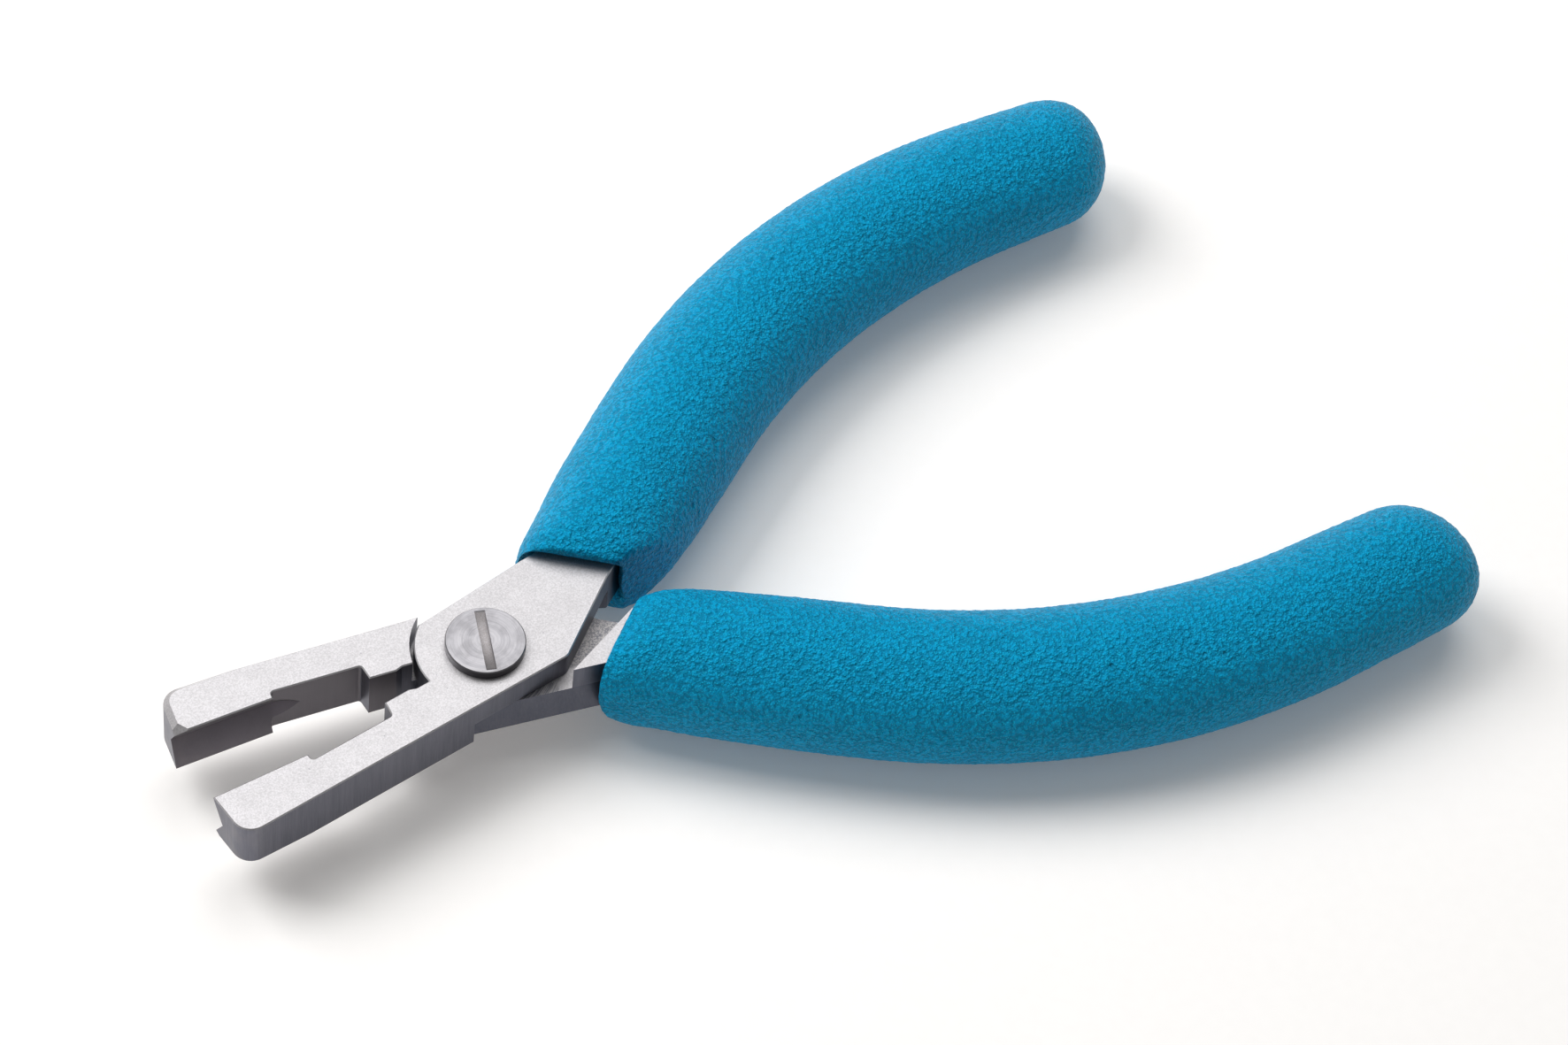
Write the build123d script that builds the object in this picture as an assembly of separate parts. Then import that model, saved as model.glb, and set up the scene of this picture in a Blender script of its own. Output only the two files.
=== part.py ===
from build123d import *
import math
import os

# Flat nose pliers: two forged halves in a lap joint, a slotted pivot screw and two foam grips.
# Millimetres, +Z up. The origin is on the pivot axis, on the flat underside of the joint.
# +X runs towards the handles and +Y towards the jaw of the under half.
# Each half is drawn closed, with its jaw on +Y and its handle on -Y, then turned open.
# The over half is the under half's shape flipped about the X axis at mid thickness.

# Steel
THICKNESS = 6.0
LAP_GAP = 0.04            # between the two lap faces
REST_HALF_ANGLE = 7.3     # each half is turned this far open at rest
BOSS_R = 7.0              # round side of the joint
SHOULDER_R = 7.45         # hollow shoulder that clears the other half's boss
EDGE_BREAK = 0.12         # chamfer along the edges of the flats

# Jaw
TIP_X = -31.8
JAW_WIDTH = 5.5
NOSE_CORNER_R = 2.0
PAD_END_X = -21.6
PAD_TIP_Y = 0.05          # half of the gap left between the closed tips
PAD_END_Y = 0.95
RELIEF_Y = 1.75
RELIEF_CORNER_R = 0.35
TOOTH_X = -12.0
TOOTH_BASE_X = -12.3
TOOTH_Y = 0.08
TOOTH_END_X = -9.2
NOTCH_X = -8.5
NOTCH_Y = 0.38
GROOVE_DEPTH = 1.55       # V groove along the pad
GROOVE_HALF_HEIGHT = 2.85
GROOVE_WHEEL_R = 6.5      # wheel that ground the groove, seen in its run-out
NOSE_BEVEL = 0.6          # along the tip's upper edge and round its outer corner
NOSE_FADE = 7.0           # length over which the bevel fades out along the side
CORNER_CUT = (1.5, 1.9, 1.2)   # inner nose corner cut: along the jaw, across it, down

# Neck and tang
SIDE_Y = -5.75            # outer side of the neck, where it leaves the boss
NECK_BEND_X = 6.1
NECK_ANGLE = 31.8         # inner side of the neck falls away at this angle
NECK_BEND_R = 1.2
WALL_CLEARANCE = 0.65     # between the lap's upright wall and the other neck, closed
SIDE_LEAN = 0.85          # the neck's outer side leans in by this much up to the lap
TANG_OUTER = 4.0          # from the centre line to the tang's outer side
TANG_INNER = 3.5          # to its inner side, so that the two tangs clear when closed
TANG_END_WIDTH = 4.8
TANG_LENGTH = 77.8        # from the grip's mouth

# Grips: the centre line is a straight, an arc and a straight
MOUTH = (13.3, -3.2)
MOUTH_HEADING = -27.0
STRAIGHT_IN = 24.6
ARC_R = 77.0
END_HEADING = 9.0
UNDER_GRIP_LENGTH = 91.1
OVER_GRIP_LENGTH = 87.6
GRIP_FLATNESS = 0.87      # height over width
GRIP_HALF_WIDTH = 8.0
MOUTH_NARROWING = 2.0     # half width lost at the mouth, fading over MOUTH_FADE
MOUTH_FADE = 6.0
END_NARROWING = 1.2       # half width lost by the start of the end cap
NARROWING_FROM = 40.0
MOUTH_SKEW = -17.0        # the mouth is cut on a slant, which fades over SKEW_FADE
SKEW_FADE = 14.0
SECTION_STEP = 7.0
GRIP_FACE_Y = -0.15       # the two grips' facing sides, closed
GRIP_DROP = 0.5           # both grips sit this much lower than the steel's middle
END_CAP = 5.5             # length over which the closed end is rounded
END_CAP_STEPS = (0.35, 0.62, 0.82, 0.94, 0.99)

# Pivot screw
HEAD_R = 4.0
HEAD_HEIGHT = 0.95
HEAD_BREAK = 0.1
SLOT_WIDTH = 1.05
SLOT_DEPTH = 0.65         # at the middle; a wheel cut it, so its floor rises to both ends
SLOT_LENGTH = 7.25
SLOT_ANGLE = 71.5
SHANK_R = 2.5
THREAD_R = 2.0
RUNNING_CLEARANCE = 0.05
HEAD_CLEARANCE = 0.02

MID_Z = THICKNESS / 2
REACH = 80.0              # longer than anything that is cut
ARC_TURN = END_HEADING - MOUTH_HEADING
ARC_LENGTH = ARC_R * math.radians(ARC_TURN)


def ahead(point, heading, distance):
    """Return the point at a distance along a heading in degrees."""
    angle = math.radians(heading)
    return (point[0] + distance * math.cos(angle), point[1] + distance * math.sin(angle))


def centre_line(s):
    """Return the point and heading at length s along the handle's centre line."""
    bend_start = ahead(MOUTH, MOUTH_HEADING, STRAIGHT_IN)
    if s <= STRAIGHT_IN:
        return ahead(MOUTH, MOUTH_HEADING, s), MOUTH_HEADING
    arc_centre = ahead(bend_start, MOUTH_HEADING + 90, ARC_R)
    turned = math.degrees(min(s - STRAIGHT_IN, ARC_LENGTH) / ARC_R)
    heading = MOUTH_HEADING + turned
    on_arc = ahead(arc_centre, heading - 90, ARC_R)
    return ahead(on_arc, heading, max(0.0, s - STRAIGHT_IN - ARC_LENGTH)), heading


def beside(s, offset):
    """Return the point beside the centre line, to the left of its direction."""
    point, heading = centre_line(s)
    return ahead(point, heading + 90, offset)


def half_outline():
    """Return the plan of one half as a face: jaw, boss, neck and tang."""
    arc_from = STRAIGHT_IN
    arc_mid = STRAIGHT_IN + ARC_LENGTH / 2
    arc_to = STRAIGHT_IN + ARC_LENGTH
    far = TANG_END_WIDTH / 2
    boss_start = (-math.sqrt(BOSS_R ** 2 - NOTCH_Y ** 2), NOTCH_Y)
    boss_angle = math.degrees(math.atan2(*reversed(side_start()))) % 360
    boss_mid = ahead((0, 0), (180 + boss_angle) / 2, BOSS_R)
    with BuildSketch() as plan:
        with BuildLine():
            front = Polyline(
                boss_start, (NOTCH_X, NOTCH_Y), (TOOTH_END_X, TOOTH_Y), (TOOTH_X, TOOTH_Y),
                (TOOTH_BASE_X, RELIEF_Y), (PAD_END_X, RELIEF_Y), (PAD_END_X, PAD_END_Y),
                (TIP_X, PAD_TIP_Y), (TIP_X, JAW_WIDTH), (NECK_BEND_X, JAW_WIDTH),
                beside(0, TANG_INNER), beside(arc_from, TANG_INNER),
            )
            inner = ThreePointArc(
                front @ 1, beside(arc_mid, (TANG_INNER + far) / 2), beside(arc_to, far))
            back = Polyline(
                inner @ 1, beside(TANG_LENGTH, far), beside(TANG_LENGTH, -far), beside(arc_to, -far))
            outer = ThreePointArc(
                back @ 1, beside(arc_mid, -(TANG_OUTER + far) / 2), beside(arc_from, -TANG_OUTER))
            side = Polyline(outer @ 1, beside(0, -TANG_OUTER), side_start())
            ThreePointArc(side @ 1, boss_mid, boss_start)
        make_face()
        fillet(plan.vertices().group_by(Axis.X)[0].sort_by(Axis.Y)[-1], NOSE_CORNER_R)
        bend = plan.vertices().sort_by_distance((NECK_BEND_X, JAW_WIDTH))[0]
        fillet(bend, NECK_BEND_R)
        relief_corners = [
            plan.vertices().sort_by_distance((TOOTH_BASE_X, RELIEF_Y))[0],
            plan.vertices().sort_by_distance((PAD_END_X, RELIEF_Y))[0],
        ]
        fillet(relief_corners, RELIEF_CORNER_R)
    return plan.sketch


def side_start():
    """Return where the neck's outer side leaves the boss."""
    return (-math.sqrt(BOSS_R ** 2 - SIDE_Y ** 2), SIDE_Y)


def lap_cut():
    """Return what the lap takes off the upper layer: the boss's sweep, up to an upright wall."""
    floor_z = MID_Z - LAP_GAP / 2
    foot = ahead((NECK_BEND_X, -JAW_WIDTH), NECK_ANGLE - 90, WALL_CLEARANCE)
    start = (0, foot[1] - foot[0] * math.tan(math.radians(NECK_ANGLE)), floor_z)
    end = ahead(start, NECK_ANGLE, REACH)
    swept = make_face(Polyline(start, (end[0], end[1], floor_z), (0, REACH, floor_z), close=True))
    base = (Align.CENTER, Align.CENTER, Align.MIN)
    shoulder = Pos(0, 0, floor_z) * Cylinder(SHOULDER_R, THICKNESS, align=base)
    return shoulder + extrude(swept, THICKNESS, dir=(0, 0, 1))


def side_cut():
    """Return what the neck's outer side loses by leaning in up to the lap."""
    over = 1.0
    start = side_start()
    end = beside(0, -TANG_OUTER)
    run = (end[0] - start[0], end[1] - start[1])
    section = make_face(Polyline(
        (0, 0), (SIDE_LEAN, MID_Z), (SIDE_LEAN, THICKNESS + over), (-over, THICKNESS + over),
        (-over, 0), close=True))
    plane = Plane((*start, 0), x_dir=(-run[1], run[0], 0), z_dir=(*run, 0))
    return extrude(plane * section, math.hypot(*run))


def groove_cut():
    """Return the V groove of the pad, with the wheel's run-out at its inner end."""
    slope = math.degrees(math.atan2(PAD_END_Y - PAD_TIP_Y, PAD_END_X - TIP_X))
    flank = GROOVE_DEPTH / GROOVE_HALF_HEIGHT
    over = 1.0
    half = GROOVE_HALF_HEIGHT + over / flank
    section = Polyline((0, GROOVE_DEPTH, 0), (0, -over, half), (0, -over, -half), close=True)
    length = PAD_END_X - TIP_X + 2 * over
    prism = extrude(make_face(section), length, dir=(-1, 0, 0))
    prism = Pos(PAD_END_X, PAD_END_Y, MID_Z) * Rot(0, 0, slope) * prism
    rim = GROOVE_WHEEL_R
    wheel_profile = Polyline((0, 0, half), (rim - GROOVE_DEPTH - over, 0, half), (rim, 0, 0),
                             (rim - GROOVE_DEPTH - over, 0, -half), (0, 0, -half), close=True)
    wheel = revolve(make_face(wheel_profile), Axis.Z)
    wheel = Pos(PAD_END_X, PAD_END_Y + GROOVE_DEPTH - rim, MID_Z) * wheel
    return prism + wheel


def nose_cut():
    """Return the corner cut off the nose's upper inner corner."""
    along, across, down = CORNER_CUT
    over = 1.0
    corner = (TIP_X - over, PAD_TIP_Y - over, THICKNESS + over)
    grow = 1 + over / along + over / across + over / down
    base = Polyline(
        corner, (corner[0] + along * grow, corner[1], corner[2]),
        (corner[0], corner[1] + across * grow, corner[2]), close=True)
    point = Vertex(corner[0], corner[1], corner[2] - down * grow)
    return loft([make_face(base), point], ruled=True)


def nose_bevel():
    """Return the bevel on the nose: along its tip, round the corner, fading out on the side."""
    over = 1.0
    corner = Pos(TIP_X + NOSE_CORNER_R, JAW_WIDTH - NOSE_CORNER_R, THICKNESS)

    def profile(radius):
        return Polyline(
            (radius, 0, -NOSE_BEVEL), (radius - NOSE_BEVEL, 0, 0), (radius - NOSE_BEVEL, 0, over),
            (radius + over, 0, over), (radius + over, 0, -NOSE_BEVEL), close=True)

    section = make_face(profile(NOSE_CORNER_R))
    round_corner = Rot(0, 0, 90) * revolve(section, Axis.Z, revolution_arc=90)
    tip = extrude(Rot(0, 0, 180) * section, JAW_WIDTH, dir=(0, -1, 0))
    fade_from = make_face(Polyline(
        (0, NOSE_CORNER_R, -NOSE_BEVEL), (0, NOSE_CORNER_R - NOSE_BEVEL, 0),
        (0, NOSE_CORNER_R, 0), close=True))
    fade = loft([fade_from, Vertex(NOSE_FADE, NOSE_CORNER_R, 0)], ruled=True)
    return corner * (round_corner + tip + fade)


def half(bore_r):
    """Return one half, closed, with its jaw on +Y and its lap cut from the upper layer."""
    body = extrude(half_outline(), THICKNESS)
    body = chamfer(body.faces().filter_by(Axis.Z).edges(), EDGE_BREAK)
    body = body - lap_cut() - side_cut() - groove_cut() - nose_cut() - nose_bevel()
    return body - Cylinder(bore_r, THICKNESS * 3)


def opened(part, direction):
    """Turn a closed piece to the rest pose; direction is -1 for the under half, 1 for the over."""
    return Rot(0, 0, direction * REST_HALF_ANGLE) * part


def flipped(part):
    """Turn an under piece over, about the X axis at mid thickness."""
    return Pos(0, 0, THICKNESS) * Rot(180, 0, 0) * part


def grip_half_width(s, length):
    """Return a grip's half width at length s, before its end cap is rounded."""
    mouth = MOUTH_NARROWING * math.exp(-s / MOUTH_FADE)
    share = max(0.0, s - NARROWING_FROM) / (length - END_CAP - NARROWING_FROM)
    return GRIP_HALF_WIDTH - mouth - END_NARROWING * share ** 2


def grip_sections(length):
    """Return the place, half width and skew of each section of a grip."""
    cap_start = length - END_CAP
    count = round(cap_start / SECTION_STEP)
    sections = []
    for index in range(count + 1):
        s = cap_start * index / count
        sections.append((s, grip_half_width(s, length), MOUTH_SKEW * max(0.0, 1 - s / SKEW_FADE)))
    end_width = grip_half_width(cap_start, length)
    for share in END_CAP_STEPS:
        sections.append((cap_start + END_CAP * share, end_width * math.sqrt(1 - share ** 2), 0))
    return sections


def grip(steel, length, rise):
    """Return a closed-end foam sleeve round a half's tang, its middle raised above the steel's."""
    faces = []
    for s, half_width, skew in grip_sections(length):
        point, heading = centre_line(s)
        direction = ahead((0, 0), heading + skew, 1)
        plane = Plane((*point, MID_Z + rise), x_dir=(0, 0, 1), z_dir=(*direction, 0))
        faces.append(plane * Ellipse(half_width * GRIP_FLATNESS, half_width))
    sleeve = loft(faces, ruled=True)
    beyond = (Align.CENTER, Align.MIN, Align.CENTER)
    facing = Pos(0, GRIP_FACE_Y, 0) * Box(REACH * 3, REACH, REACH, align=beyond)
    return sleeve - facing - steel


def pivot_screw():
    """Return the slotted screw: head, shank in the over half, threaded end in the under half."""
    base = (Align.CENTER, Align.CENTER, Align.MIN)
    head_z = THICKNESS + HEAD_CLEARANCE
    shoulder_z = MID_Z - LAP_GAP / 2
    head = Pos(0, 0, head_z) * Cylinder(HEAD_R, HEAD_HEIGHT, align=base)
    head = chamfer(head.edges().group_by(Axis.Z)[-1], HEAD_BREAK)
    wheel_r = (SLOT_LENGTH ** 2 / 4 + SLOT_DEPTH ** 2) / (2 * SLOT_DEPTH)
    wheel = Rot(90, 0, 0) * Cylinder(wheel_r, SLOT_WIDTH)
    slot = Pos(0, 0, head_z + HEAD_HEIGHT - SLOT_DEPTH + wheel_r) * Rot(0, 0, SLOT_ANGLE) * wheel
    shank = Pos(0, 0, shoulder_z) * Cylinder(SHANK_R, head_z - shoulder_z, align=base)
    thread = Cylinder(THREAD_R, shoulder_z, align=base)
    return head + shank + thread - slot


def main():
    """Write one STEP file for each piece."""
    under = half(THREAD_R)
    over = half(SHANK_R + RUNNING_CLEARANCE)
    parts = {
        "under_half": opened(under, -1),
        "over_half": opened(flipped(over), 1),
        "pivot_screw": pivot_screw(),
        "under_grip": opened(grip(under, UNDER_GRIP_LENGTH, -GRIP_DROP), -1),
        "over_grip": opened(flipped(grip(over, OVER_GRIP_LENGTH, GRIP_DROP)), 1),
    }
    os.makedirs("parts", exist_ok=True)
    for name, part in parts.items():
        export_step(part, f"parts/{name}.step")


main()
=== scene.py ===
import math

import bpy
import numpy as np
from bpy.props import FloatProperty, FloatVectorProperty, IntProperty, PointerProperty
from mathutils import Matrix, Vector


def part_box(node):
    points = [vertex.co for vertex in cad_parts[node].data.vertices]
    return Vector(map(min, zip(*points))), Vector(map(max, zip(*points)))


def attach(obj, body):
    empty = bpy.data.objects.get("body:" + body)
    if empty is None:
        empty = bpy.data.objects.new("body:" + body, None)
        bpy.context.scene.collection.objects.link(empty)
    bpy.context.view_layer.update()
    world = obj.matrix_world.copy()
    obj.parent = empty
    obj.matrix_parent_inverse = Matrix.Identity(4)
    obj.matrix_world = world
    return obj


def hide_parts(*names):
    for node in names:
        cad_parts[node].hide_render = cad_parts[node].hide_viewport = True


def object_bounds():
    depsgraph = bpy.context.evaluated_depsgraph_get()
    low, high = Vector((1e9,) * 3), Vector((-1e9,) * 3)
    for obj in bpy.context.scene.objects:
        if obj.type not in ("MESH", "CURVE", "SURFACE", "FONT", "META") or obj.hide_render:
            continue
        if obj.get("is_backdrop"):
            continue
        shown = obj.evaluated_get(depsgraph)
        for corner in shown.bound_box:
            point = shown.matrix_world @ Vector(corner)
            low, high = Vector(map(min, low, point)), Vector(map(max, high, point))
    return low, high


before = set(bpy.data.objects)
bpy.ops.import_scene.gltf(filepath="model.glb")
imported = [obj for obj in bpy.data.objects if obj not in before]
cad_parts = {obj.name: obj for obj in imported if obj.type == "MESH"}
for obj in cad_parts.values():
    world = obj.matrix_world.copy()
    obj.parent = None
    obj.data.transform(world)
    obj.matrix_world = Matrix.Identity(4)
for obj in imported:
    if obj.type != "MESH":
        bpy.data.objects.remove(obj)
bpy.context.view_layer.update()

bl_info = {
    "name": "Lap-joint pliers with foam grips",
    "version": (1, 0, 0),
    "blender": (4, 5, 0),
    "location": "3D View > Sidebar > Pliers",
    "description": "Finishes the steel, makes the foam sleeves and sets the studio",
    "category": "Add Mesh",
}

MM = 0.001

# The closed handle's line, in millimetres: a straight, an arc and a straight.
MOUTH = (13.3, -3.2)
MOUTH_HEADING = -27.0
STRAIGHT_IN = 24.6
ARC_R = 77.0
ARC_TURN = 36.0
ARC_LENGTH = ARC_R * math.radians(ARC_TURN)
TANG_LENGTH = 77.8
TANG_OUTER = 4.0
TANG_INNER = 3.5
TANG_END_HALF = 2.4
MID_Z = 3.0
STEEL_HALF_HEIGHT = 3.0
REST_HALF_ANGLE = 7.3
FACING_Y = -0.2

# Squareness of the hole in a sleeve, where 2 is round: along the tang and at the rim.
HOLE_SQUARENESS = 20
RIM_SQUARENESS = 8
SNUG_GAP = 0.04
NECK_FLARE_INNER = 0.5
NECK_FLARE_OUTER = 0.75
NECK_FLARE_LENGTH = 2.5
FUNNEL_SHARE = 0.25
RIM_RINGS = 20

# Places on the halves, in metres, each with a soft edge: start and end of a change.
JAW_BACK = (-0.0093, -0.0088)
NOSE_END = (-0.0295, -0.028)
NOSE_WEAR = (-0.0305, -0.027)
NECK_START = (-0.006, -0.0055)
LAP_EDGE = (0.0041, 0.0046)
MARKS_EDGE = (0.0047, 0.0052)
MARKS_END = (0.0048, 0.0056)


# ---------------------------------------------------------------- shader tools

class Value:
    """A number or colour that changes over a surface: one output of a shader node."""

    def __init__(self, shader, socket):
        self.shader = shader
        self.socket = socket

    def out(self, name):
        """Another output of the same node."""
        return Value(self.shader, self.socket.node.outputs[name])

    def __add__(self, other):
        return self.shader.maths("ADD", self, other)

    def __sub__(self, other):
        return self.shader.maths("SUBTRACT", self, other)

    def __rsub__(self, other):
        return self.shader.maths("SUBTRACT", other, self)

    def __mul__(self, other):
        return self.shader.maths("MULTIPLY", self, other)

    def __pow__(self, other):
        return self.shader.maths("POWER", self, other)

    __radd__ = __add__
    __rmul__ = __mul__


class Shader:
    """The node tree of one material."""

    def __init__(self, name):
        self.material = bpy.data.materials.new(name)
        self.material.use_nodes = True
        self.tree = self.material.node_tree
        self.tree.nodes.clear()

    def node(self, kind, settings=None, sockets=None, output=0):
        """Add a node: its settings first, then its sockets. Returns the output asked for."""
        node = self.tree.nodes.new("ShaderNode" + kind)
        for name, value in (settings or {}).items():
            setattr(node, name, value)
        for name, value in (sockets or {}).items():
            if isinstance(value, Value):
                self.tree.links.new(value.socket, node.inputs[name])
            else:
                node.inputs[name].default_value = value
        return None if output is None else Value(self, node.outputs[output])

    def maths(self, operation, a, b=0.0):
        return self.node("Math", {"operation": operation}, {0: a, 1: b})

    def step(self, value, low, high, start=0.0, end=1.0):
        """A smooth step from start to end as the value goes from low to high."""
        settings = {"interpolation_type": "SMOOTHSTEP"}
        sockets = {"Value": value, "From Min": low, "From Max": high,
                   "To Min": start, "To Max": end}
        return self.node("MapRange", settings, sockets)

    def fade(self, value, low, high):
        """A smooth step down from one to nothing."""
        return self.step(value, low, high, 1.0, 0.0)

    def mix(self, share, a, b):
        """A mix of two colours, each a Value or plain red, green and blue."""
        a, b = (colour if isinstance(colour, Value) else (*colour, 1) for colour in (a, b))
        return self.node("Mix", {"data_type": "RGBA"}, {0: share, 6: a, 7: b}, 2)

    def scaled(self, vector, factors):
        return self.node("VectorMath", {"operation": "MULTIPLY"}, {0: vector, 1: factors})

    def noise(self, vector, size, detail=2.0, roughness=0.5):
        """Noise whose patches are about size metres across."""
        sockets = {"Vector": vector, "Scale": 1 / size, "Detail": detail, "Roughness": roughness}
        return self.node("TexNoise", None, sockets)

    def cells(self, vector, size, feature="F1"):
        """Distance to the nearest of points that are about size metres apart."""
        return self.node("TexVoronoi", {"feature": feature}, {"Vector": vector, "Scale": 1 / size})

    def bump(self, height, strength, distance):
        sockets = {"Height": height, "Strength": strength, "Distance": distance}
        return self.node("Bump", None, sockets)

    def surface(self, sockets):
        """End the tree in a Principled shader."""
        principled = self.node("BsdfPrincipled", None, sockets)
        self.node("OutputMaterial", None, {"Surface": principled}, None)
        return self.material


# ---------------------------------------------------------------- finishes

def steel_finish(name, looks, jaw_side):
    """Blasted flats, ground sides partly darkened with painted shade, gripping faces darkened with
    painted shade and chamfers lightened with a painted highlight.

    jaw_side is 1 or -1: the side, along Y, on which this half's jaw lies.
    """
    sh = Shader(name)
    place = sh.node("TexCoord", None, None, "Object")
    normal = sh.node("SeparateXYZ", None, {0: place.out("Normal")})
    at = sh.node("SeparateXYZ", None, {0: place})
    x, y, z = at, at.out("Y"), at.out("Z")
    tilt = sh.maths("ABSOLUTE", normal.out("Z"))
    flat = sh.step(tilt, 0.9, 0.99)
    side = sh.fade(tilt, 0.56, 0.64)
    edge = sh.step(tilt, 0.56, 0.64) * sh.fade(tilt, 0.78, 0.9) * sh.step(x, *NOSE_END)
    # Painted shade: the lower, drafted part of the neck's sides catches more light than the upright
    # part, so it is darkened.
    lean_shade = sh.step(tilt, 0.15, 0.25) * side * sh.step(x, *NECK_START)
    # Painted shade: the flanks of the V-grooves in the jaws.
    groove_shade = sh.step(tilt, 0.3, 0.4) * side * sh.fade(x, *JAW_BACK)

    blast = sh.noise(place, looks.grain, 3.0, 0.65)
    cloud = sh.noise(place, 0.0022, 3.0, 0.6)
    drift = sh.noise(place, 0.011, 1.0)
    streak = sh.noise(sh.scaled(place, (1.0, 1.0, 0.035)), 0.00016, 3.0, 0.7)
    band = sh.noise(sh.scaled(place, (1.0, 1.0, 0.02)), 0.0011, 2.0)
    pits = sh.fade(sh.cells(place, 0.0011), 0.05, 0.11)
    pits = pits * sh.step(sh.noise(place, 0.003), 0.5, 0.6)

    radius = (x * x + y * y) ** 0.5
    rings = sh.noise(sh.node("CombineXYZ", None, {0: radius, 1: z * 0.05}), 0.00013, 3.0, 0.7)
    lap = flat * sh.fade(sh.maths("ABSOLUTE", z - MID_Z * MM), 0.0002, 0.0004)
    # Painted shade: the jaws' inner faces, which look into the dark gap between the jaws, together
    # with the grooves' flanks.
    jaw_shade = sh.step(normal.out("Y") * -jaw_side, 0.35, 0.75)
    jaw_shade = jaw_shade * sh.fade(x, *JAW_BACK)
    jaw_shade = sh.maths("MAXIMUM", jaw_shade, groove_shade)
    worn = sh.fade(x, *NOSE_WEAR) * sh.step(sh.noise(place, 0.0016, 2.0), 0.4, 0.75)

    flat_tone = sh.mix(sh.step(blast, 0.32, 0.68) * 0.8, looks.flat_colour, looks.grain_colour)
    flat_tone = sh.mix(sh.step(cloud, 0.35, 0.75) * 0.05, flat_tone, looks.grain_colour)
    flat_tone = sh.mix(pits * 0.35, flat_tone, looks.side_colour)
    side_tone = sh.mix(sh.step(streak, 0.3, 0.75) * 0.5, looks.side_colour, looks.streak_colour)
    side_tone = sh.mix(sh.step(band, 0.4, 0.7) * 0.3, side_tone, looks.streak_colour)
    # Painted shade on the drafted lower part of the neck's sides.
    side_tone = sh.mix(lean_shade * 0.55, side_tone, looks.shade_colour)
    # Painted shade on the jaws' gripping faces.
    side_tone = sh.mix(jaw_shade * 0.75, side_tone, looks.jaw_shade_colour)
    # The sides' darker tone is partly the ground finish's own tone and partly painted shade for the
    # dark surroundings they reflect.
    tone = sh.mix(side, flat_tone, side_tone)
    away = sh.maths("ABSOLUTE", y)
    worked = sh.step(away, *LAP_EDGE)
    marks = sh.step(rings, 0.4, 0.6) * sh.step(away, *MARKS_EDGE) * sh.fade(x, *MARKS_END)
    # The lap face outside the worked strip: coarse grain, and a darker tone that is painted shade
    # from the other half's neck.
    lap_grain_and_shade_tone = sh.mix(sh.step(blast, 0.35, 0.65) * 0.85, looks.lap_grain_and_shade_colour, looks.side_colour)
    tone = sh.mix(lap * (1 - worked), tone, lap_grain_and_shade_tone)
    tone = sh.mix(lap * marks * 0.85, tone, looks.side_colour)
    # Painted highlight: the narrow chamfers get a lighter tone standing for the thin bright line of
    # light along the edges.
    tone = sh.mix(edge, tone, looks.edge_highlight_colour)
    tone = sh.mix(worn * (side + edge) * 0.15, tone, looks.worn_colour)

    rough = sh.step(cloud, 0.3, 0.7, looks.roughness - 0.015, looks.roughness + 0.02)
    rough = rough - side * 0.1 - edge * 0.12 + sh.step(drift, 0.3, 0.7, -0.008, 0.012)
    height = blast * flat * 0.7 + streak * side * 0.6 + rings * lap * 0.9 - pits * flat * 0.5
    shape = sh.bump(height, 0.5, 0.00003)
    return sh.surface({"Base Color": tone, "Metallic": 1.0, "Roughness": rough, "Normal": shape})


def screw_finish(name, looks, top):
    """Turned steel: fine rings on the head's face, a paler slot floor and painted shade on the rim.
    """
    sh = Shader(name)
    place = sh.node("TexCoord", None, None, "Object")
    normal = sh.node("SeparateXYZ", None, {0: place.out("Normal")})
    at = sh.node("SeparateXYZ", None, {0: place})
    x, y, z = at, at.out("Y"), at.out("Z")
    radius = (x * x + y * y) ** 0.5
    up = sh.step(normal.out("Z"), 0.75, 0.9)
    # Painted shade: the head's upright faces, its rim and the slot's walls, and its chamfer are
    # darkened.
    rim = sh.fade(sh.maths("ABSOLUTE", normal.out("Z")), 0.2, 0.9)
    face = up * sh.step(z, top - 0.00006, top - 0.00003)
    slot = up - face
    along = sh.node("CombineXYZ", None, {0: radius, 1: x * 0.03, 2: y * 0.03})
    fine = sh.noise(along, looks.ring_spacing, 3.0, 0.7)
    coarse = sh.noise(along, looks.ring_spacing * 6, 2.0, 0.6)
    cloud = sh.noise(place, 0.0016, 3.0, 0.6)
    grain = sh.noise(place, 0.00012, 2.0, 0.6)
    tone = sh.mix(sh.step(fine, 0.3, 0.7) * 0.45, looks.colour, looks.ring_colour)
    tone = sh.mix(sh.step(coarse, 0.4, 0.65) * 0.35, tone, looks.ring_colour)
    tone = sh.mix(sh.step(cloud, 0.4, 0.7) * 0.2, tone, looks.rim_shade_and_mottle_colour)
    # Painted shade on the head's rim, chamfer and slot walls.
    tone = sh.mix(rim, tone, looks.rim_shade_and_mottle_colour)
    floor_tone = sh.mix(sh.step(grain, 0.35, 0.65) * 0.5, looks.slot_colour, looks.ring_colour)
    tone = sh.mix(slot, tone, floor_tone)
    rough = sh.step(cloud, 0.3, 0.7, 0.3, 0.4) + slot * 0.12
    shape = sh.bump(fine * face + coarse * face * 1.5 + grain * slot, 0.4, 0.00003)
    return sh.surface({"Base Color": tone, "Metallic": 1.0, "Roughness": rough, "Normal": shape})


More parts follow.
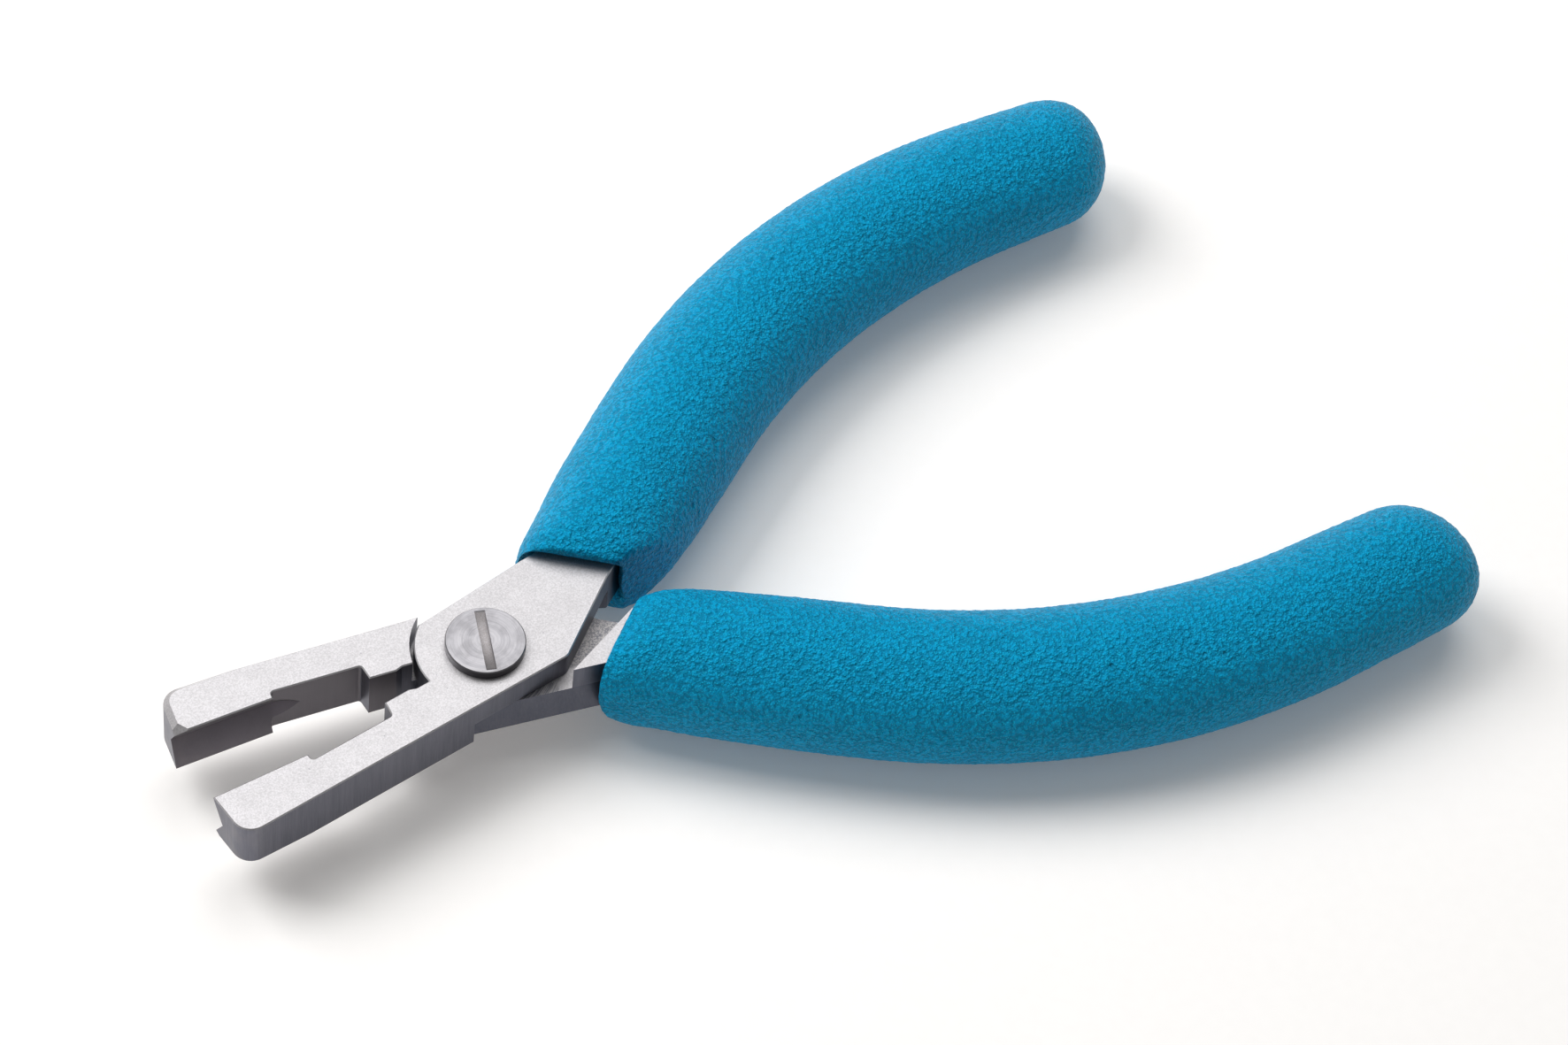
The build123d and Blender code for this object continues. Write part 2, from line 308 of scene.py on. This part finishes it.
def foam_finish(looks):
    """Skinned foam: a pebbled matt surface, with painted shade in its crevices and in a scatter of
    open pores, and painted highlights on its crests and fine grain.
    """
    sh = Shader("foam_skin")
    place = sh.node("TexCoord", None, None, "Object")
    warp = sh.noise(place, 0.0016, 2.0)
    shift = sh.scaled(warp.out("Color"), (0.0002,) * 3)
    bent = sh.node("VectorMath", {"operation": "ADD"}, {0: place, 1: shift})
    pebble = sh.cells(bent, looks.grain, "SMOOTH_F1")
    fine = sh.cells(bent, looks.grain * 0.55)
    grain = sh.noise(place, looks.grain * 0.3, 3.0, 0.7)
    cloud = sh.noise(place, 0.006, 3.0, 0.55)
    sizes = sh.noise(place, 0.0025, 2.0)
    pores = sh.fade(sh.cells(place, looks.pore_spacing), 0.1, 0.17)
    pores = pores * sh.step(sizes, 0.55, 0.68)

    crevice_shade = sh.step(pebble, 0.3, 0.5)
    crest_highlight = sh.fade(fine, 0.15, 0.4)
    tone = sh.mix(sh.step(cloud, 0.3, 0.7), looks.colour, looks.second_colour)
    # Painted shade in the crevices between the pebbles.
    tone = sh.mix(crevice_shade * 0.5, tone, looks.crevice_shade_colour)
    # Painted highlights: the pebbles' crests and specks of fine grain are lightened, standing for
    # glints of light.
    tone = sh.mix(crest_highlight * 0.5, tone, looks.foam_highlight_colour)
    tone = sh.mix(sh.step(grain, 0.5, 0.75) * 0.35, tone, looks.foam_highlight_colour)
    # Painted shade inside the open pores.
    tone = sh.mix(pores * 0.4, tone, looks.crevice_shade_colour)
    rough = sh.step(grain, 0.3, 0.7, 0.4, 0.55) + pores * 0.1
    height = (1 - pebble) + (1 - fine) * 0.5 + grain * 0.4 - pores * 0.8
    shape = sh.bump(height, 1.0, looks.grain * 0.7)
    return sh.surface({"Base Color": tone, "Roughness": rough, "Normal": shape,
                       "IOR": 1.33, "Specular Tint": (*looks.sheen_colour, 1)})


def floor_finish(colour, glow):
    """Matt card with a very faint tooth."""
    sh = Shader("studio_floor")
    place = sh.node("TexCoord", None, None, "Object")
    tooth = sh.noise(place, 0.0012, 3.0, 0.6)
    tone = sh.mix(sh.step(tooth, 0.3, 0.7), colour, [c * 0.985 for c in colour])
    return sh.surface({"Base Color": tone, "Roughness": 0.85, "Specular IOR Level": 0.1,
                       "Emission Color": (1.0, 0.99, 0.985, 1.0), "Emission Strength": glow})


# ---------------------------------------------------------------- foam sleeves

def handle_line(s):
    """Points and headings at lengths s along the closed handle, in millimetres and radians."""
    first = math.radians(MOUTH_HEADING)
    heading = first + np.clip((s - STRAIGHT_IN) / ARC_R, 0, math.radians(ARC_TURN))
    centre_x = MOUTH[0] + STRAIGHT_IN * math.cos(first) - ARC_R * math.sin(first)
    centre_y = MOUTH[1] + STRAIGHT_IN * math.sin(first) + ARC_R * math.cos(first)
    before = np.minimum(s, STRAIGHT_IN) - STRAIGHT_IN
    after = np.maximum(s - STRAIGHT_IN - ARC_LENGTH, 0)
    x = centre_x + ARC_R * np.sin(heading) + before * math.cos(first) + after * np.cos(heading)
    y = centre_y - ARC_R * np.cos(heading) + before * math.sin(first) + after * np.sin(heading)
    return x, y, heading


def sleeve_rings(looks, length):
    """Yield (s, share of the skin, half widths left, right and up, squareness) for each ring.

    They run from the closed end along the skin to the mouth, over the lip and back
    down the inside of the sleeve, which fits the tang. All sizes are in millimetres,
    and a squareness of 2 is an ellipse.
    """
    cap = looks.cap / MM
    lip = looks.lip / MM
    cap_start = length - cap
    step = looks.mesh_step / MM
    narrowing_from = looks.narrowing_from / MM

    def outside(s):
        share = np.clip((s - narrowing_from) / (cap_start - narrowing_from), 0, 1)
        mouth = looks.mouth_narrowing / MM * math.exp(-s / (looks.mouth_fade / MM))
        before = max(0.0, 1 - s / (looks.bullnose_length / MM))
        mouth += looks.bullnose / MM * (1 - math.sqrt(1 - before ** 2))
        half = looks.half_width / MM - mouth - looks.end_narrowing / MM * share ** 2
        reach = s / (looks.waist_at / MM)
        waist = looks.outer_waist / MM * reach * math.exp(1 - reach)
        return half, half - waist, half * looks.flatness

    def squareness(s):
        return 2 + looks.mouth_squareness * math.exp(-s / (looks.square_fade / MM))

    def flare(s):
        return max(0.0, 1 - s / (looks.funnel_depth / MM)) ** 2

    def inside(s, gap):
        share = np.clip((s - STRAIGHT_IN) / ARC_LENGTH, 0, 1)
        neck = max(0.0, 1 - s / NECK_FLARE_LENGTH)
        left = TANG_INNER + (TANG_END_HALF - TANG_INNER) * share + NECK_FLARE_INNER * neck
        right = TANG_OUTER + (TANG_END_HALF - TANG_OUTER) * share + NECK_FLARE_OUTER * neck
        funnel = looks.funnel / MM * flare(s)
        slight = funnel * FUNNEL_SHARE
        return left + gap + funnel, right + gap + slight, STEEL_HALF_HEIGHT + gap + slight

    # The closed end.
    wide = outside(cap_start)
    power = 2 / looks.cap_squareness
    turns = int(cap * 1.3 / step)
    for turn in range(1, turns):
        angle = math.pi / 2 * (1 - turn / turns)
        narrow = math.cos(angle) ** power
        yield cap_start + cap * math.sin(angle) ** power, 1.0, [w * narrow for w in wide], 2.0
    # The skin.
    count = int((cap_start - lip) / step)
    for index in range(count + 1):
        s = cap_start + (lip - cap_start) * index / count
        yield s, 1.0, outside(s), squareness(s)
    # The lip.
    power = squareness(lip)
    for turn in range(1, RIM_RINGS + 1):
        angle = math.pi * turn / RIM_RINGS
        s = lip * (1 - math.sin(angle))
        share = (1 - math.cos(angle)) / 2
        sizes = [a + (b - a) * share for a, b in zip(outside(lip), inside(s, looks.gap / MM))]
        yield s, 1 - share, sizes, power + (RIM_SQUARENESS - power) * share ** 2
    # The hole.
    along = (*np.linspace(lip + 0.3, 6, 14), *np.linspace(8, TANG_LENGTH - 0.5, 20))
    for s in (*along, TANG_LENGTH + 0.1):
        gap = SNUG_GAP + (looks.gap / MM - SNUG_GAP) * flare(s)
        power = HOLE_SQUARENESS + (RIM_SQUARENESS - HOLE_SQUARENESS) * flare(s)
        yield s, 0.0, inside(s, gap), power


def sleeve_mesh(name, looks, length, over):
    """The closed skin of one sleeve at rest, with how far each point takes the foam's relief."""
    angles = np.linspace(0, 2 * math.pi, looks.around, endpoint=False)
    cos, sin = np.cos(angles), np.sin(angles)
    rows, skin = [], []
    # The over half's sleeve is made upside down and turned over at the end.
    rise = looks.drop / MM * (1 if over else -1)
    low = np.maximum(0, sin if over else -sin) ** 1.5
    fade = looks.skew_fade / MM
    for s, share, (left, right, up), power in sleeve_rings(looks, length):
        x, y, heading = handle_line(s)
        near_mouth = max(0.0, 1 - s / fade)
        near_end = max(0.0, 1 - (length - s) / fade)
        turn = heading + math.radians(looks.mouth_skew) * near_mouth
        turn += math.radians(looks.end_skew) * near_end
        wide = np.where(cos > 0, left, right)
        reach = (np.abs(cos / wide) ** power + np.abs(sin / up) ** power) ** (-1 / power)
        across = reach * cos
        back = looks.mouth_cut / MM * near_mouth ** 2 * low
        rows.append(np.stack([
            x - across * math.sin(turn) + back * math.cos(heading),
            y + across * math.cos(turn) + back * math.sin(heading),
            MID_Z + rise * share + reach * sin], 1))
        skin += [share] * len(angles)
    points = np.concatenate([*rows, [np.mean(rows[0], 0)], [np.mean(rows[-1], 0)]])
    skin += [1.0, 0.0]
    # The facing side stops short of the other sleeve when the pliers are closed.
    soft = looks.facing_softness / MM
    points[:, 1] -= soft * np.logaddexp(0, (points[:, 1] - FACING_Y) / soft)
    if over:
        points[:, 1] *= -1
        points[:, 2] = 2 * MID_Z - points[:, 2]
    turned = math.radians(REST_HALF_ANGLE if over else -REST_HALF_ANGLE)
    points = points @ np.array(Matrix.Rotation(turned, 3, "Z")).T * MM

    n, m = len(angles), len(rows)
    faces = []
    for row in range(m - 1):
        for i in range(n):
            j = (i + 1) % n
            faces.append((row * n + i, (row + 1) * n + i, (row + 1) * n + j, row * n + j))
    faces += [(m * n, i, (i + 1) % n) for i in range(n)]
    faces += [(m * n + 1, (m - 1) * n + (i + 1) % n, (m - 1) * n + i) for i in range(n)]
    mesh = bpy.data.meshes.new(name)
    mesh.from_pydata(points.tolist(), [], faces)
    shares = mesh.attributes.new("skin", "FLOAT", "POINT")
    shares.data.foreach_set("value", np.array(skin, np.float32))
    mesh.update()
    return mesh


def relief_tree(material):
    """Geometry nodes that raise the foam's pebbles and slow swells along its surface."""
    tree = bpy.data.node_groups.new("foam_relief", "GeometryNodeTree")
    face = tree.interface
    face.new_socket("Geometry", in_out="INPUT", socket_type="NodeSocketGeometry")
    sizes = {"Pebble size": 0.0007, "Pebble height": 0.00006,
             "Swell size": 0.006, "Swell height": 0.00012}
    for name, default in sizes.items():
        socket = face.new_socket(name, in_out="INPUT", socket_type="NodeSocketFloat")
        socket.default_value = default
        socket.subtype = "DISTANCE"
    face.new_socket("Seed", in_out="INPUT", socket_type="NodeSocketFloat").default_value = 3.0
    face.new_socket("Geometry", in_out="OUTPUT", socket_type="NodeSocketGeometry")

    def node(kind, sockets=None, **settings):
        made = tree.nodes.new(kind)
        for name, value in settings.items():
            setattr(made, name, value)
        for name, value in (sockets or {}).items():
            if isinstance(value, bpy.types.NodeSocket):
                tree.links.new(value, made.inputs[name])
            else:
                made.inputs[name].default_value = value
        return made

    def maths(operation, a, b=0.0):
        return node("ShaderNodeMath", {0: a, 1: b}, operation=operation).outputs[0]

    given = node("NodeGroupInput").outputs
    where = node("GeometryNodeInputPosition").outputs[0]
    skin = node("GeometryNodeInputNamedAttribute", {"Name": "skin"}, data_type="FLOAT")
    skin = skin.outputs["Attribute"]
    pebble = node("ShaderNodeTexVoronoi", {
        "Vector": where, "W": given["Seed"],
        "Scale": maths("DIVIDE", 1.0, given["Pebble size"]), "Smoothness": 0.6,
    }, voronoi_dimensions="4D", feature="SMOOTH_F1").outputs["Distance"]
    swell = node("ShaderNodeTexNoise", {
        "Vector": where, "W": given["Seed"],
        "Scale": maths("DIVIDE", 1.0, given["Swell size"]), "Detail": 2.0,
    }, noise_dimensions="4D").outputs[0]
    raised = maths("MULTIPLY", maths("SUBTRACT", 0.5, pebble), given["Pebble height"])
    swollen = maths("MULTIPLY", maths("SUBTRACT", swell, 0.5), given["Swell height"])
    height = maths("MULTIPLY", maths("ADD", raised, swollen), skin)
    outwards = node("GeometryNodeInputNormal").outputs[0]
    lift = node("ShaderNodeVectorMath", {0: outwards, "Scale": height}, operation="SCALE")
    moved = node("GeometryNodeSetPosition",
                 {"Geometry": given["Geometry"], "Offset": lift.outputs[0]})
    smooth = node("GeometryNodeSetShadeSmooth",
                  {"Geometry": moved.outputs[0], "Shade Smooth": True})
    real = node("GeometryNodeRealizeInstances", {"Geometry": smooth.outputs[0]})
    dressed = node("GeometryNodeSetMaterial", {"Geometry": real.outputs[0], "Material": material})
    node("NodeGroupOutput", {"Geometry": dressed.outputs[0]})
    return tree


def with_relief(name, mesh, tree, sizes):
    """A new object whose mesh is the given one after the relief has been applied."""
    rough = bpy.data.objects.new(name + "_rough", mesh)
    bpy.context.scene.collection.objects.link(rough)
    modifier = rough.modifiers.new("relief", "NODES")
    modifier.node_group = tree
    for socket in tree.interface.items_tree:
        if socket.item_type == "SOCKET" and socket.in_out == "INPUT" and socket.name in sizes:
            modifier[socket.identifier] = sizes[socket.name]
    depsgraph = bpy.context.evaluated_depsgraph_get()
    done = bpy.data.meshes.new_from_object(rough.evaluated_get(depsgraph), depsgraph=depsgraph)
    bpy.data.objects.remove(rough)
    piece = bpy.data.objects.new(name, done)
    bpy.context.scene.collection.objects.link(piece)
    return piece


# ---------------------------------------------------------------- stage

FLOOR_REACH = 3.0
MIDDLE = Vector((0.035, 0.0, 0.0))
CAMERA_PLACE = Vector((-0.1402, -0.2321, 0.3798))
CAMERA_RIGHT = Vector((0.8596, -0.5033, 0.0884))
CAMERA_UP = Vector((0.3542, 0.7115, 0.6070))


def add_softbox(name, offset, size, power):
    """A square softbox that faces the middle of the object."""
    lamp = bpy.data.lights.new(name, "AREA")
    lamp.size = size
    lamp.energy = power
    softbox = bpy.data.objects.new(name, lamp)
    softbox.location = MIDDLE + offset
    softbox.rotation_euler = offset.to_track_quat("Z", "Y").to_euler()
    bpy.context.scene.collection.objects.link(softbox)


# ---------------------------------------------------------------- settings

def colour(name, text, default):
    return FloatVectorProperty(name=name, description=text, default=default, size=3,
                               min=0, max=1, subtype="COLOR")


def distance(name, text, default):
    return FloatProperty(name=name, description=text, default=default, min=0, precision=6,
                         unit="LENGTH", subtype="DISTANCE")


def number(name, text, default, **limits):
    return FloatProperty(name=name, description=text, default=default, **limits)


class PliersSteel(bpy.types.PropertyGroup):
    """How the two forged halves are finished."""

    flat_colour: colour("Flats", "Blasted flats of the joint and jaws", (0.555, 0.542, 0.555))
    grain_colour: colour("Grain", "Darker grains in the blasted flats", (0.40, 0.388, 0.396))
    # Partly the ground sides' own tone, partly painted shade for the dark surroundings they
    # reflect.
    side_colour: colour("Sides", "Ground sides", (0.135, 0.138, 0.168))
    streak_colour: colour("Grinding marks", "Lighter marks on the sides", (0.21, 0.21, 0.243))
    # Painted shade for the lower, drafted part of the neck's sides.
    shade_colour: colour("Leaning side", "Lower part of the neck's side", (0.05, 0.054, 0.07))
    # Coarse grain of the lap face, darkened with painted shade from the other half's neck.
    lap_grain_and_shade_colour: colour("Lap", "Coarse face of the lap", (0.42, 0.405, 0.395))
    # Painted shade for the jaws' gripping faces, which look into the dark gap between the jaws.
    jaw_shade_colour: colour("Gripping faces", "Inner faces of the jaws", (0.20, 0.183, 0.193))
    # Painted highlight for the narrow chamfers.
    edge_highlight_colour: colour("Edges", "Narrow chamfers", (0.66, 0.65, 0.66))
    worn_colour: colour("Worn nose", "Handled steel at the nose", (0.34, 0.305, 0.285))
    grain: distance("Grain size", "Size of the blasted grain", 0.00017)
    roughness: number("Roughness", "Roughness of the flats", 0.5, min=0, max=1)


class PliersScrew(bpy.types.PropertyGroup):
    """How the pivot screw is finished."""

    colour: colour("Head", "Turned face of the head", (0.24, 0.236, 0.25))
    ring_colour: colour("Rings", "Lighter turning marks", (0.38, 0.37, 0.385))
    # Painted shade for the head's rim and chamfer; also the colour of faint random mottling on the
    # face.
    rim_shade_and_mottle_colour: colour("Rim", "Rim and chamfer", (0.10, 0.097, 0.105))
    slot_colour: colour("Slot", "Floor of the slot", (0.27, 0.25, 0.25))
    ring_spacing: distance("Ring spacing", "Distance between turning marks", 0.00012)


class PliersFoam(bpy.types.PropertyGroup):
    """Shape and skin of the two foam sleeves."""

    colour: colour("Foam", "Main colour", (0.0, 0.325, 0.62))
    second_colour: colour("Second tone", "Slightly lighter patches", (0.0, 0.355, 0.67))
    # Painted shade between the pebbles and inside the pores.
    crevice_shade_colour: colour("Crevices", "Colour between the pebbles and in pores", (0.0, 0.13, 0.25))
    sheen_colour: colour("Sheen", "Tint of the skin's reflections", (0.25, 0.85, 1.0))
    # Painted highlight for the pebbles' crests and for specks of fine grain.
    foam_highlight_colour: colour("Bloom", "Pale dry grain on the skin", (0.01, 0.70, 1.0))
    grain: distance("Grain", "Size of the fine pebbling", 0.00042)
    pebble_size: distance("Pebble size", "Size of the raised pebbles", 0.00056)
    pebble_height: distance("Pebble height", "How far the pebbles stand out", 0.00014)
    pore_spacing: distance("Pore spacing", "Typical distance between pores", 0.0016)
    half_width: distance("Half width", "Half of a sleeve's width", 0.008)
    flatness: number("Flatness", "Height over width", 0.87, min=0.3, max=1)
    drop: distance("Drop", "How far the skin sits below the steel's middle", 0.0005)
    cap: distance("Closed end", "Length over which the closed end is rounded", 0.0072)
    cap_squareness: number("End squareness", "2 is round", 2.25, min=1.5, max=5)
    lip: distance("Lip", "Depth of the fold from the skin into the hole", 0.0007)
    bullnose: distance("Bullnose", "Half width lost where the mouth's rim is rounded", 0.0014)
    mouth_squareness: number("Mouth squareness", "Added where foam is stretched over steel", 1.0)
    square_fade: distance("Squareness fade", "Length over which that fades", 0.003)
    mouth_cut: distance("Mouth cut", "How far the mouth's lower rim is set back", 0.0022)
    funnel: distance("Funnel", "Widening of the hole at the mouth's inner side", 0.0009)
    funnel_depth: distance("Funnel depth", "How deep that reaches", 0.0024)
    outer_waist: distance("Outer waist", "Width lost on the outer side behind the mouth", 0.0006)
    waist_at: distance("Waist place", "Where the outer side is narrowest", 0.004)
    bullnose_length: distance("Bullnose length", "Length over which the rim is rounded", 0.0032)
    gap: distance("Gap", "Gap round the steel at the mouth", 0.0003)
    mouth_narrowing: distance("Mouth narrowing", "Half width lost at the mouth", 0.0011)
    mouth_fade: distance("Mouth fade", "Length over which that fades", 0.006)
    mouth_skew: number("Mouth skew", "Slant of the mouth in degrees", -17.0)
    end_skew: number("End skew", "Slant of the closed end in degrees", 8.0)
    skew_fade: distance("Skew fade", "Length over which the slant fades", 0.014)
    narrowing_from: distance("End narrowing from", "Where the sleeve starts to narrow", 0.04)
    end_narrowing: distance("End narrowing", "Half width lost by the closed end", 0.0007)
    facing_softness: distance("Facing softness", "Rounding of the flattened facing side", 0.00025)
    under_length: distance("Under sleeve", "Length of the under half's sleeve", 0.0909)
    over_length: distance("Over sleeve", "Length of the over half's sleeve", 0.0871)
    mesh_step: distance("Mesh step", "Distance between rings of the mesh", 0.00023)
    around: IntProperty(name="Points around", description="Points in each ring", default=216,
                        min=32, max=400)


class PliersStage(bpy.types.PropertyGroup):
    """Floor, lights and camera."""

    floor_colour: colour("Floor", "Studio floor", (0.95, 0.93, 0.91))
    floor_glow: number("Floor glow", "Light of the floor itself", 0.1, min=0)
    world: number("Fill", "Strength of the even fill", 0.23, min=0)
    key_power: number("Key power", "Power of the key softbox", 4.5, min=0, unit="POWER")
    top_power: number("Top power", "Power of the top softbox", 2.8, min=0, unit="POWER")
    lens: number("Lens", "Focal length on a 36 mm sensor", 107.7, min=1)


# ---------------------------------------------------------------- operators

class PLIERS_OT_finish_halves(bpy.types.Operator):
    """Give both forged halves their blasted, ground and worn steel"""

    bl_idname = "pliers.finish_halves"
    bl_label = "Finish the halves"

    def execute(self, context):
        looks = context.scene.pliers_steel
        for node, jaw_side in (("under_half", 1), ("over_half", -1)):
            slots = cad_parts[node].data.materials
            slots.clear()
            slots.append(steel_finish(node + "_steel", looks, jaw_side))
        return {"FINISHED"}


class PLIERS_OT_finish_screw(bpy.types.Operator):
    """Give the pivot screw its turned face, slot floor and dark rim"""

    bl_idname = "pliers.finish_screw"
    bl_label = "Finish the screw"

    def execute(self, context):
        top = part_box("pivot_screw")[1].z
        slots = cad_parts["pivot_screw"].data.materials
        slots.clear()
        slots.append(screw_finish("turned_screw", context.scene.pliers_screw, top))
        return {"FINISHED"}


class PLIERS_OT_make_grips(bpy.types.Operator):
    """Make the two foam sleeves, with a rounded lip, a closed end and pebbled skin"""

    bl_idname = "pliers.make_grips"
    bl_label = "Make the grips"

    def execute(self, context):
        looks = context.scene.pliers_foam
        foam = foam_finish(looks)
        tree = relief_tree(foam)
        sizes = {"Pebble size": looks.pebble_size, "Pebble height": looks.pebble_height}
        for half, length in (("under", looks.under_length), ("over", looks.over_length)):
            mesh = sleeve_mesh(half + "_sleeve", looks, length / MM, half == "over")
            piece = with_relief(half + "_foam_grip", mesh, tree, sizes)
            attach(piece, half)
            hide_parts(half + "_grip")
        return {"FINISHED"}


class PLIERS_OT_set_stage(bpy.types.Operator):
    """Lay the floor and place the lights and the camera"""

    bl_idname = "pliers.set_stage"
    bl_label = "Set the stage"

    def execute(self, context):
        looks = context.scene.pliers_stage
        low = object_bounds()[0].z
        reach = FLOOR_REACH
        corners = [(-reach, -reach, low), (reach, -reach, low),
                   (reach, reach, low), (-reach, reach, low)]
        mesh = bpy.data.meshes.new("studio_floor")
        mesh.from_pydata(corners, [], [(0, 1, 2, 3)])
        mesh.materials.append(floor_finish(looks.floor_colour, looks.floor_glow))
        floor = bpy.data.objects.new("studio_floor", mesh)
        context.scene.collection.objects.link(floor)
        floor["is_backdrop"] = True

        world = bpy.data.worlds.new("studio")
        world.use_nodes = True
        fill = world.node_tree.nodes["Background"].inputs
        fill["Color"].default_value = (1.0, 1.0, 1.0, 1.0)
        fill["Strength"].default_value = looks.world
        context.scene.world = world

        add_softbox("key", Vector((-0.30, 0.42, 0.55)), 0.45, looks.key_power)
        add_softbox("top", Vector((0.25, 0.30, 0.75)), 0.6, looks.top_power)

        camera = bpy.data.cameras.new("camera")
        camera.lens = looks.lens
        camera.sensor_width = 36.0
        camera.clip_start = 0.01
        seat = bpy.data.objects.new("camera", camera)
        turned = Matrix((CAMERA_RIGHT, CAMERA_UP, CAMERA_RIGHT.cross(CAMERA_UP))).transposed()
        seat.matrix_world = Matrix.Translation(CAMERA_PLACE) @ turned.to_4x4()
        context.scene.collection.objects.link(seat)
        context.scene.camera = seat
        context.scene.view_settings.view_transform = "Standard"
        return {"FINISHED"}


class PLIERS_PT_tools(bpy.types.Panel):
    """The pliers' operators and settings"""

    bl_label = "Pliers"
    bl_idname = "PLIERS_PT_tools"
    bl_space_type = "VIEW_3D"
    bl_region_type = "UI"
    bl_category = "Pliers"

    def draw(self, context):
        for operator, group in STEPS:
            column = self.layout.column()
            column.operator(operator.bl_idname)
            settings = getattr(context.scene, group)
            for name in settings.__annotations__:
                column.prop(settings, name)


STEPS = (
    (PLIERS_OT_finish_halves, "pliers_steel"),
    (PLIERS_OT_finish_screw, "pliers_screw"),
    (PLIERS_OT_make_grips, "pliers_foam"),
    (PLIERS_OT_set_stage, "pliers_stage"),
)
GROUPS = {
    "pliers_steel": PliersSteel,
    "pliers_screw": PliersScrew,
    "pliers_foam": PliersFoam,
    "pliers_stage": PliersStage,
}


def register():
    for name, group in GROUPS.items():
        bpy.utils.register_class(group)
        setattr(bpy.types.Scene, name, PointerProperty(type=group))
    for operator, _ in STEPS:
        bpy.utils.register_class(operator)
    bpy.utils.register_class(PLIERS_PT_tools)


def unregister():
    bpy.utils.unregister_class(PLIERS_PT_tools)
    for operator, _ in STEPS:
        bpy.utils.unregister_class(operator)
    for name, group in GROUPS.items():
        delattr(bpy.types.Scene, name)
        bpy.utils.unregister_class(group)


def main():
    register()
    bpy.ops.pliers.finish_halves()
    bpy.ops.pliers.finish_screw()
    bpy.ops.pliers.make_grips()
    bpy.ops.pliers.set_stage()


if __name__ == "__main__":
    main()
